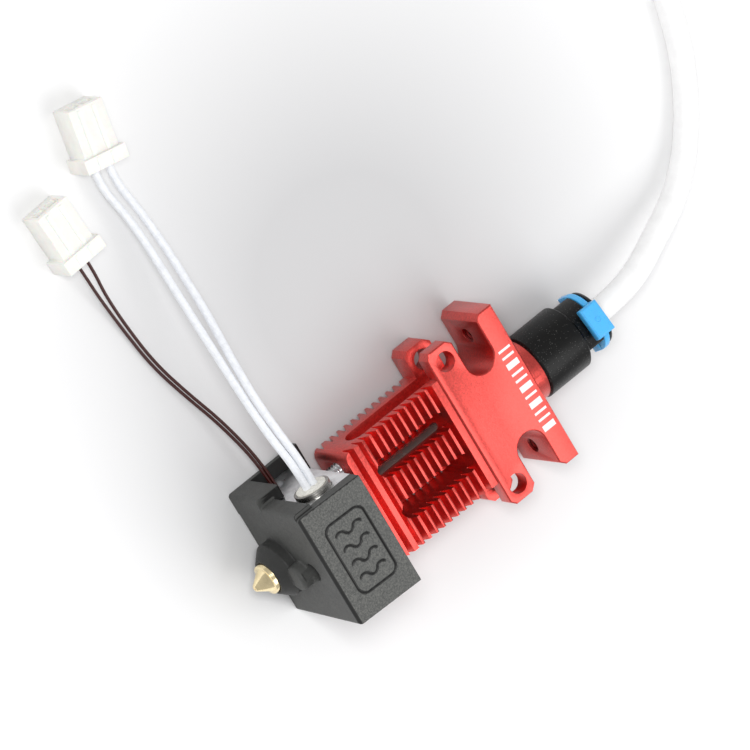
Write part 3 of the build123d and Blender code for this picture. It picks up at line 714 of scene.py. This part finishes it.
# ---------------------------------------------------------------- sub-assemblies
@dataclass
class CoolingBody:
    """Finned red head with its printed strokes, the heat break, the liner and the studs."""

    print_middle: Point = (0.3, 17.35, 12.6)
    print_length: float = 14.8
    print_height: float = 2.3
    print_proud: float = 0.02
    arm_hole_x: float = 10.2
    arm_hole_start: tuple[float, float] = (15.8, 7.1)
    arm_hole_r: float = 1.25
    thread_pitch: float = 0.5
    thread_depth: float = 0.22
    thread_turns: int = 5
    thread_clear: float = 0.04
    thread_floor: float = 0.15
    thread_gap: float = 0.1
    strokes: tuple[float, ...] = (0.4, 0.4, 1.0, 0.4, 0.4, 1.0, 0.4, 1.0, 0.4, 0.4, 1.0)
    edge: float = 0.15

    def build(self, nodes: dict[str, bpy.types.Object], finishes: Finishes) -> None:
        """Dress the metal parts, print the strokes and cut the arm threads.

        Args:
            nodes: The carried-over parts by name.
            finishes: The finishes.
        """
        dress(nodes["heat_sink"], finishes.red, self.edge)
        dress(nodes["heat_break"], finishes.steel, self.edge / 2)
        dress(nodes["liner_tube"], finishes.tube)
        dress(nodes["stud_left"], finishes.thread)
        dress(nodes["stud_right"], finishes.thread)
        self.strokes_piece(finishes.ink)
        for name, side in (("left", -1), ("right", 1)):
            self.arm_thread(name, side, finishes.painted_shade_red)

    def arm_thread(self, name: str, side: int, red: bpy.types.Material) -> bpy.types.Object:
        """Cut the thread inside one arm hole in a darker red that paints the shade in the hole.

        Args:
            name: left or right.
            side: -1 for left, 1 for right.
            red: Its darker red, which paints the shade in the hole.

        Returns:
            The thread.
        """
        work = bmesh.new()
        y, z = self.arm_hole_start
        spot = [c * MM for c in (side * self.arm_hole_x, y, z)]
        place = Matrix.Translation(spot) @ Matrix.Rotation(-math.pi / 2, 4, "X")
        outer = self.arm_hole_r + self.print_proud
        inner = self.arm_hole_r - self.thread_depth
        profile = [(outer, 0.0)]
        for turn in range(self.thread_turns):
            height = (turn + 0.5) * self.thread_pitch
            profile += [(inner, height), (outer - self.thread_clear, height + self.thread_pitch / 2)]
        # The floor closes the hole behind the thread with a sheet of the same painted shade.
        floor = profile[-1][1] + self.thread_gap
        back = floor + self.thread_floor
        profile += [(self.print_proud, floor), (self.print_proud, back), (outer, back)]
        lathe(work, profile, place)
        return piece_from(f"arm_thread_{name}", work, red, Body.HOTEND)

    def strokes_piece(self, ink: bpy.types.Material) -> bpy.types.Object:
        """Print a row of plain upright strokes on the front of the head.

        Args:
            ink: Their finish.

        Returns:
            The strokes.
        """
        work = bmesh.new()
        x, y, z = self.print_middle
        gap = (self.print_length - sum(self.strokes)) / (len(self.strokes) - 1)
        left = x - self.print_length / 2
        half = self.print_height / 2
        for width in self.strokes:
            low = (left, y - half, z - self.print_proud)
            slab(work, low, (left + width, y + half, z + self.print_proud), Matrix.Identity(4))
            left += width + gap
        return piece_from("printed_strokes", work, ink, Body.HOTEND)


@dataclass
class HeatedEnd:
    """Heater block with its nozzle, heater, thermistor, screws and silicone sock."""

    edge: float = 0.15
    sock_voxel: float = 0.11
    sock_rounds: int = 4
    sock_keep: float = 0.45
    panel_low: tuple[float, float] = (-29.3, 21.4)
    panel_high: tuple[float, float] = (-17.5, 22.4)
    sign_half_width: float = 6.4
    sign_reach: tuple[float, float] = (-27.1, -19.4)
    groove_depth: float = 0.22
    cavity_middle: Point = (0.0, -22.0, 10.0)
    cavity_z: tuple[float, float] = (0.9, 19.8)
    cavity_low: float = -27.7
    boot_top: float = -28.5
    boot_axis: float = 7.1
    boot_r: float = 4.75
    corner_low: float = 0.20
    corner_high: float = 0.96
    corner_side: float = 0.25
    corner_reach: float = 1.2
    panel_facing: float = 0.9
    panel_fade: float = 20.0
    panel_reach: float = 0.5
    # Where the painted shade starts and fades in the sign's grooves, the strength of the painted shade along
    # the edges and in the cavity, and how much the boot is darkened.
    groove_shade_start: float = 0.06
    groove_shade_fade: float = 0.08
    corner_shade: float = 0.8
    cavity_shade: float = 0.9
    boot_dark: float = 0.6

    def build(self, nodes: dict[str, bpy.types.Object], finishes: Finishes) -> None:
        """Dress the metal parts and rebuild the sock.

        Args:
            nodes: The carried-over parts by name.
            finishes: The finishes.
        """
        dress(nodes["heater_block"], finishes.milled, self.edge)
        dress(nodes["nozzle"], finishes.brass, self.edge / 5)
        dress(nodes["heater_cartridge"], finishes.cartridge, self.edge / 2)
        dress(nodes["heater_end_seal"], finishes.ceramic, self.edge / 2)
        dress(nodes["heater_clamp_screw"], finishes.thread, self.edge / 3)
        dress(nodes["thermistor_clamp_screw"], finishes.thread, self.edge / 3)
        dress(nodes["thermistor_cartridge"], finishes.cartridge, self.edge / 2)
        self.sock(nodes["silicone_sock"], finishes.silicone)

    def sock(self, node: bpy.types.Object, silicone: bpy.types.Material) -> bpy.types.Object:
        """Rebuild the sock as a soft moulding.

        Args:
            node: The carried-over sock.
            silicone: Its finish.

        Returns:
            The moulding.
        """
        piece = moulded_copy(node, "sock_moulding", self.sock_voxel, self.sock_rounds, self.sock_keep)
        piece.data.materials.append(silicone)
        self.paint_marks(piece.data)
        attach(piece, Body.SOCK.value)
        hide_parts(node.name)
        LOG.info("moulded %s with %d faces", piece.name, len(piece.data.polygons))
        return piece

    def paint_marks(self, mesh: bpy.types.Mesh) -> None:
        """Mark the front panel of the sock, and paint shade into its sign's grooves, along the panel's edges
        and in its cavity, and darken its boot.

        Args:
            mesh: The mesh of the sock, in metres.
        """
        # The painted-shade mark holds how much painted shade each point gets.
        painted_shade = mesh.attributes.new("painted_shade", "FLOAT", "POINT")
        panel = mesh.attributes.new("panel", "FLOAT", "POINT")
        (y0, z0), (y1, z1) = self.panel_low, self.panel_high
        normals = mesh.vertex_normals
        for index, vertex in enumerate(mesh.vertices):
            x, y, z = (c * GRAIN for c in vertex.co)
            below = z0 + (z1 - z0) * (y - y0) / (y1 - y0) - z
            normal = normals[index].vector
            facing = normal.z
            share = min(1.0, max(0.0, (facing - self.panel_facing) * self.panel_fade))
            panel.data[index].value = share if below < self.panel_reach else 0.0
            dark = 0.0
            in_sign = abs(x) < self.sign_half_width and self.sign_reach[0] < y < self.sign_reach[1]
            # Painted shade at the bottom of the sign's grooves.
            if in_sign and self.groove_shade_start < below < 2 * self.groove_depth:
                dark = min(1.0, (below - self.groove_shade_start) / self.groove_shade_fade)
            # Painted shade along the rounded edges of the front panel.
            elif below < self.corner_reach and self.corner_low < facing < self.corner_high:
                if max(-normal.x, -normal.y) > self.corner_side:
                    dark = self.corner_shade
            # Painted shade on the inner faces of the cavity.
            inward = sum(n * (m - c) for n, m, c in zip(normal, self.cavity_middle, (x, y, z)))
            if inward > 0 and y > self.cavity_low and self.cavity_z[0] < z < self.cavity_z[1]:
                dark = max(dark, self.cavity_shade)
            # The boot is darkened.
            if y < self.boot_top and math.hypot(x, z - self.boot_axis) < self.boot_r:
                dark = max(dark, self.boot_dark)
            painted_shade.data[index].value = dark


@dataclass
class Fitting:
    """Push-in fitting with its collet, its gripping ring and the locking clip."""

    edge: float = 0.12
    clip_turn: float = -13.5
    tab_middle: tuple[float, float] = (32.7, 7.1)
    tab_face: float = 6.8
    mark_r: float = 0.42
    mark_width: float = 0.16
    mark_sunk: float = 0.02
    mark_proud: float = 0.09

    def build(self, nodes: dict[str, bpy.types.Object], finishes: Finishes) -> None:
        """Dress the parts.

        Args:
            nodes: The carried-over parts by name.
            finishes: The finishes.
        """
        dress(nodes["fitting_body"], finishes.coat, self.edge)
        dress(nodes["fitting_collet"], finishes.black, self.edge)
        dress(nodes["collet_jaws"], finishes.thread, self.edge / 3)
        dress(nodes["collet_clip"], finishes.blue, self.edge)
        self.tab_mark(finishes.blue)

    def tab_mark(self, blue: bpy.types.Material) -> bpy.types.Object:
        """Raise the small ring that the mould's pin leaves on the tab of the clip.

        Args:
            blue: Its finish.

        Returns:
            The ring.
        """
        turn = math.radians(self.clip_turn)
        outward = Vector((math.sin(turn), 0.0, math.cos(turn)))
        spot = Vector((0.0, *self.tab_middle)) + outward * self.tab_face
        place = Matrix.Translation(spot * MM) @ outward.to_track_quat("Z", "Y").to_matrix().to_4x4()
        ring, half = self.mark_r, self.mark_width
        work = bmesh.new()
        profile = [(ring - half, -self.mark_sunk), (ring, self.mark_proud), (ring + half, -self.mark_sunk)]
        lathe(work, profile, place, 28)
        return piece_from("clip_pin_mark", work, blue, Body.CLIP)


@dataclass
class Plug:
    """Two-way moulded plug with crimped contacts."""

    name: str
    wire_face: Point
    turn: float
    edge: float = 0.12
    pitch: float = 2.5
    half_thickness: float = 2.875
    rib: float = 0.35
    rib_depth: float = 0.3
    rib_edge: float = 0.08
    collar_rib: tuple[float, float] = (-2.0, -0.15)
    body_rib: tuple[float, float] = (-9.4, -2.2)
    body_step: float = 0.7

    def place(self) -> Matrix:
        """Place of the plug: its wires enter from its own +X."""
        spot = [c * MM for c in self.wire_face]
        return Matrix.Translation(spot) @ Matrix.Rotation(math.radians(self.turn), 4, "Z")

    def entry(self, y: float, back: float = 0.0) -> Point:
        """Where a wire enters the plug, or a point behind it, in millimetres."""
        point = self.place() @ Vector((back * MM, y * MM, 0.0))
        return tuple(c * GRAIN for c in point)

    def build(self, nodes: dict[str, bpy.types.Object], finishes: Finishes) -> None:
        """Dress the housing and contacts and add the raised ribs of the moulding.

        Args:
            nodes: The carried-over parts by name.
            finishes: The finishes.
        """
        dress(nodes[f"{self.name}_housing"], finishes.ivory, self.edge)
        dress(nodes[f"{self.name}_contacts"], finishes.tinned, self.edge / 3)
        work = bmesh.new()
        top = self.half_thickness
        for side in (-1, 1):
            y = side * self.pitch / 2
            (near, far), (back, front) = self.collar_rib, self.body_rib
            low = (near, y - self.rib, top - self.rib)
            slab(work, low, (far, y + self.rib, top + self.rib / 3), self.place())
            low = (back, y - self.rib, top - self.body_step - self.rib_depth)
            slab(work, low, (front, y + self.rib, top - self.body_step + self.rib / 2), self.place())
        bmesh.ops.bevel(
            work, geom=list(work.edges), offset=self.rib_edge * MM, segments=2, affect="EDGES"
        )
        piece_from(f"{self.name}_ribs", work, finishes.ivory, Body.HOTEND)


@dataclass
class Wiring:
    """The heater's and the thermistor's leads with their plugs."""

    heater_diameter: float = 1.24
    thermistor_diameter: float = 0.5
    heater_y: float = 1.25
    thermistor_y: float = 0.8
    heater_run: float = 3.0
    thermistor_run: float = 2.5
    heater_plug: Plug = field(default_factory=lambda: Plug("heater_plug", (-65.9, -19.3, 2.875), -11.0))
    thermistor_plug: Plug = field(
        default_factory=lambda: Plug("thermistor_plug", (-56.2, -29.9, 2.875), 3.0)
    )
    heater_a: tuple[Point, ...] = (
        (-10.5, -22.975, 15.7),
        (-14.7, -22.975, 15.7),
        (-20.1, -23.6, 15.2),
        (-26.6, -23.3, 13.5),
        (-33.3, -22.5, 11.0),
        (-39.9, -21.6, 8.4),
        (-46.5, -20.8, 6.1),
        (-53.1, -20.2, 4.4),
        (-58.0, -20.3, 3.5),
    )
    heater_b: tuple[Point, ...] = (
        (-10.5, -21.675, 15.7),
        (-14.5, -21.675, 15.7),
        (-19.4, -22.2, 15.7),
        (-25.9, -22.3, 14.6),
        (-32.4, -21.1, 11.9),
        (-38.6, -19.5, 8.9),
        (-45.1, -18.5, 6.4),
        (-51.5, -17.9, 4.5),
        (-57.3, -18.0, 3.5),
    )
    thermistor_a: tuple[Point, ...] = (
        (-8.0, -22.6, 3.6),
        (-13.2, -22.6, 3.6),
        (-21.9, -24.1, 2.1),
        (-28.7, -26.2, 1.2),
        (-35.4, -28.0, 0.6),
        (-42.6, -29.0, 0.8),
        (-49.2, -30.0, 1.8),
    )
    thermistor_b: tuple[Point, ...] = (
        (-8.0, -22.05, 3.6),
        (-13.2, -22.05, 3.6),
        (-22.0, -23.6, 2.5),
        (-28.8, -25.7, 1.6),
        (-35.5, -27.5, 1.1),
        (-42.5, -28.4, 1.2),
        (-49.0, -29.0, 1.9),
    )
    heater_length: float = 57.7
    thermistor_length: float = 49.3

    def build(self, nodes: dict[str, bpy.types.Object], finishes: Finishes) -> None:
        """Make the plugs and lay the four leads into them.

        Args:
            nodes: The carried-over parts by name.
            finishes: The finishes.
        """
        self.heater_plug.build(nodes, finishes)
        self.thermistor_plug.build(nodes, finishes)
        for letter, side, route in (("a", -1, self.heater_a), ("b", 1, self.heater_b)):
            self.lead(f"heater_wire_{letter}", side, route, finishes.sleeve)
        for letter, side, route in (("a", -1, self.thermistor_a), ("b", 1, self.thermistor_b)):
            self.lead(f"thermistor_wire_{letter}", side, route, finishes.lead)

    def lead(self, node: str, side: int, route: tuple[Point, ...], material: bpy.types.Material) -> None:
        """Lay one lead from its exit into its plug.

        Args:
            node: The plain solid it stands for.
            side: -1 or 1 for the plug's way that it enters.
            route: Its points up to the plug.
            material: Its finish.
        """
        hot = node.startswith("heater")
        plug = self.heater_plug if hot else self.thermistor_plug
        y = side * (self.heater_y if hot else self.thermistor_y)
        run = self.heater_run if hot else self.thermistor_run
        Lead(
            name=f"{node}_lead",
            route=[*route, plug.entry(y, run), plug.entry(y)],
            diameter=self.heater_diameter if hot else self.thermistor_diameter,
            length=self.heater_length if hot else self.thermistor_length,
            material=material,
            slot="white_sleeve" if hot else "dark_lead",
            replaces=(node,),
            far_end="plug",
            stiffness="stiff" if hot else "medium",
            with_pieces=(f"{plug.name}_housing", f"{plug.name}_contacts", f"{plug.name}_ribs"),
        ).build()


@dataclass
class GuideTube:
    """White guide tube that runs to a flat coil, and the tie that holds the coil."""

    diameter: float = 4.0
    length: float = 400.0
    start: tuple[Point, ...] = (
        (0.0, 35.025, 7.1),
        (0.0, 39.225, 7.1),
        (-0.8, 45.3, 6.7),
        (-3.1, 51.9, 5.4),
        (-5.3, 58.6, 3.8),
        (-9.5, 64.5, 2.7),
        (-16.1, 69.5, 2.3),
        (-23.0, 72.8, 2.4),
        (-30.3, 74.6, 2.8),
        (-41.3, 77.2, 2.9),
    )
    middle: tuple[float, float] = (-46.5, 102.7)
    tie_angle: float = 165.0
    tie_outside: float = 26.9
    arrival: float = -104.0
    outer: float = 24.05
    inner: float = 19.95
    floor_layer: float = 2.8
    crossing: float = 6.85
    top_layer: float = 6.4
    end: float = -946.0
    step: float = 20.0
    head_low: Point = (-0.2, -2.1, 3.2)
    head_high: Point = (1.9, 2.1, 6.9)
    tail_low: Point = (0.5, -1.4, 2.0)
    tail_high: Point = (1.2, 1.4, 3.3)
    pawl_low: Point = (1.7, -1.2, 4.0)
    pawl_high: Point = (2.1, 1.2, 6.1)
    head_edge: float = 0.2

    def tie_head(self, black: bpy.types.Material) -> bpy.types.Object:
        """Put the ratchet head with its short tail on the outside of the tie.

        Args:
            black: Its finish.

        Returns:
            The head.
        """
        spot = [c * MM for c in (*self.middle, 0.0)]
        place = Matrix.Translation(spot) @ Matrix.Rotation(math.radians(self.tie_angle), 4, "Z")
        place = place @ Matrix.Translation((self.tie_outside * MM, 0.0, 0.0))
        work = bmesh.new()
        slab(work, self.head_low, self.head_high, place)
        slab(work, self.tail_low, self.tail_high, place)
        slab(work, self.pawl_low, self.pawl_high, place)
        bmesh.ops.bevel(
            work, geom=list(work.edges), offset=self.head_edge * MM, segments=2, affect="EDGES"
        )
        return piece_from("tie_head", work, black, Body.HOTEND)

    def coil(self) -> list[Point]:
        """Work out the coil: one wide turn, one narrow turn inside it and an end on top.

        Returns:
            Its points, in millimetres.
        """
        stations = [
            (self.arrival, self.outer, self.floor_layer),
            (-380.0, self.outer, self.floor_layer),
            (-464.0, self.inner, self.floor_layer),
            (-680.0, self.inner, self.floor_layer),
            (-752.0, (self.outer + self.inner) / 2, self.crossing),
            (-830.0, (self.outer + self.inner) / 2, self.crossing),
            (-880.0, (self.outer + self.inner) / 2, self.top_layer),
            (self.end, (self.outer + self.inner) / 2, self.top_layer),
        ]
        points = []
        steps = round((self.arrival - self.end) / self.step)
        for index in range(steps + 1):
            angle = self.arrival + (self.end - self.arrival) * index / steps
            before, after = next(
                (a, b) for a, b in zip(stations, stations[1:]) if b[0] <= angle + 1e-6
            )
            share = (before[0] - angle) / (before[0] - after[0])
            eased = share * share * (3 - 2 * share)
            radius, height = (b + (a - b) * eased for b, a in zip(before[1:], after[1:]))
            turn = math.radians(angle)
            x, y = self.middle
            points.append((x + radius * math.cos(turn), y + radius * math.sin(turn), height))
        return points

    def build(self, nodes: dict[str, bpy.types.Object], finishes: Finishes) -> None:
        """Lay the tube with its coil and dress the tie.

        Args:
            nodes: The carried-over parts by name.
            finishes: The finishes.
        """
        dress(nodes["coil_tie"], finishes.black, self.head_edge)
        self.tie_head(finishes.black)
        Lead(
            name="guide_tube",
            route=[*self.start, *self.coil()],
            diameter=self.diameter,
            length=self.length,
            material=finishes.tube,
            slot="white_tube",
            replaces=("bowden_tube", "bowden_coil"),
            far_end="bare",
            stiffness="stiff",
            lay="coiled",
            sides=10,
        ).build()


# ---------------------------------------------------------------- studio
@dataclass
class Studio:
    """Camera, lights and the pale ground."""

    target: Point = (-14.93, -0.95, 8.0)
    distance: float = 1432.6
    azimuth: float = 41.43
    elevation: float = 60.47
    roll: float = 96.66
    lens: float = 459.4
    key_direction: Point = (0.50, 0.25, 0.88)
    key_distance: float = 500.0
    key_size: float = 380.0
    key_power: float = 1.10
    fill_direction: Point = (-0.36, -0.34, 0.87)
    fill_distance: float = 650.0
    fill_size: float = 150.0
    fill_power: float = 1.7
    ambient: float = 0.50
    ground: float = 1500.0

    def camera(self) -> bpy.types.Object:
        """Set the camera over the hotend, rolled so that its filament path runs aslant.

        Returns:
            The camera.
        """
        azimuth, elevation, roll = (math.radians(a) for a in (self.azimuth, self.elevation, self.roll))
        level = math.cos(elevation)
        forward = Vector((math.sin(azimuth) * level, math.cos(azimuth) * level, -math.sin(elevation)))
        side = Vector((math.cos(azimuth), -math.sin(azimuth), 0.0))
        above = side.cross(forward)
        right = side * math.cos(roll) + above * math.sin(roll)
        up = above * math.cos(roll) - side * math.sin(roll)
        data = bpy.data.cameras.new("camera")
        data.sensor_width = 36.0
        data.lens = self.lens
        data.clip_start = 0.05
        data.clip_end = 10.0
        camera = bpy.data.objects.new("camera", data)
        place = (Vector(self.target) - forward * self.distance) * MM
        columns = (right, up, -forward, place)
        camera.matrix_world = Matrix([[c[row] for c in columns] for row in range(3)] + [[0, 0, 0, 1]])
        bpy.context.scene.collection.objects.link(camera)
        bpy.context.scene.camera = camera
        return camera

    def area_light(self, name: str, direction: Point, distance: float, size: float, power: float) -> None:
        """Hang one soft square light that looks at the hotend.

        Args:
            name: Name of the light.
            direction: Where it hangs, seen from the hotend.
            distance: How far away it hangs, in millimetres.
            size: Length of its sides, in millimetres.
            power: Its power in watts.
        """
        data = bpy.data.lights.new(name, "AREA")
        data.shape = "SQUARE"
        data.size = size * MM
        data.energy = power
        light = bpy.data.objects.new(name, data)
        offset = Vector(direction).normalized()
        light.location = (Vector(self.target) + offset * distance) * MM
        light.rotation_mode = "QUATERNION"
        light.rotation_quaternion = (-offset).to_track_quat("-Z", "Y")
        bpy.context.scene.collection.objects.link(light)

    def build(self, finishes: Finishes) -> None:
        """Make the ground, the even light of the room and the lights.

        Args:
            finishes: The finishes.
        """
        scene = bpy.context.scene
        scene.view_settings.view_transform = "Standard"
        mesh = bpy.data.meshes.new("ground")
        half = self.ground / 2 * MM
        corners = [(-half, -half, 0), (half, -half, 0), (half, half, 0), (-half, half, 0)]
        mesh.from_pydata(corners, [], [(0, 1, 2, 3)])
        mesh.materials.append(finishes.paper)
        floor = bpy.data.objects.new("ground", mesh)
        scene.collection.objects.link(floor)
        world = bpy.data.worlds.new("room")
        world.use_nodes = True
        shader = world.node_tree.nodes["Background"]
        shader.inputs["Color"].default_value = (self.ambient, self.ambient, self.ambient * 1.01, 1.0)
        scene.world = world
        self.area_light("key", self.key_direction, self.key_distance, self.key_size, self.key_power)
        self.area_light("fill", self.fill_direction, self.fill_distance, self.fill_size, self.fill_power)


def main() -> None:
    """Build the whole scene."""
    logging.basicConfig(level=logging.INFO, format="%(name)s: %(message)s")
    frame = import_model()
    nodes = frame["nodes"]
    finishes = Finishes()
    studio = Studio()
    studio.camera()
    Wiring().build(nodes, finishes)
    GuideTube().build(nodes, finishes)
    CoolingBody().build(nodes, finishes)
    HeatedEnd().build(nodes, finishes)
    Fitting().build(nodes, finishes)
    studio.build(finishes)


if __name__ == "__main__":
    main()
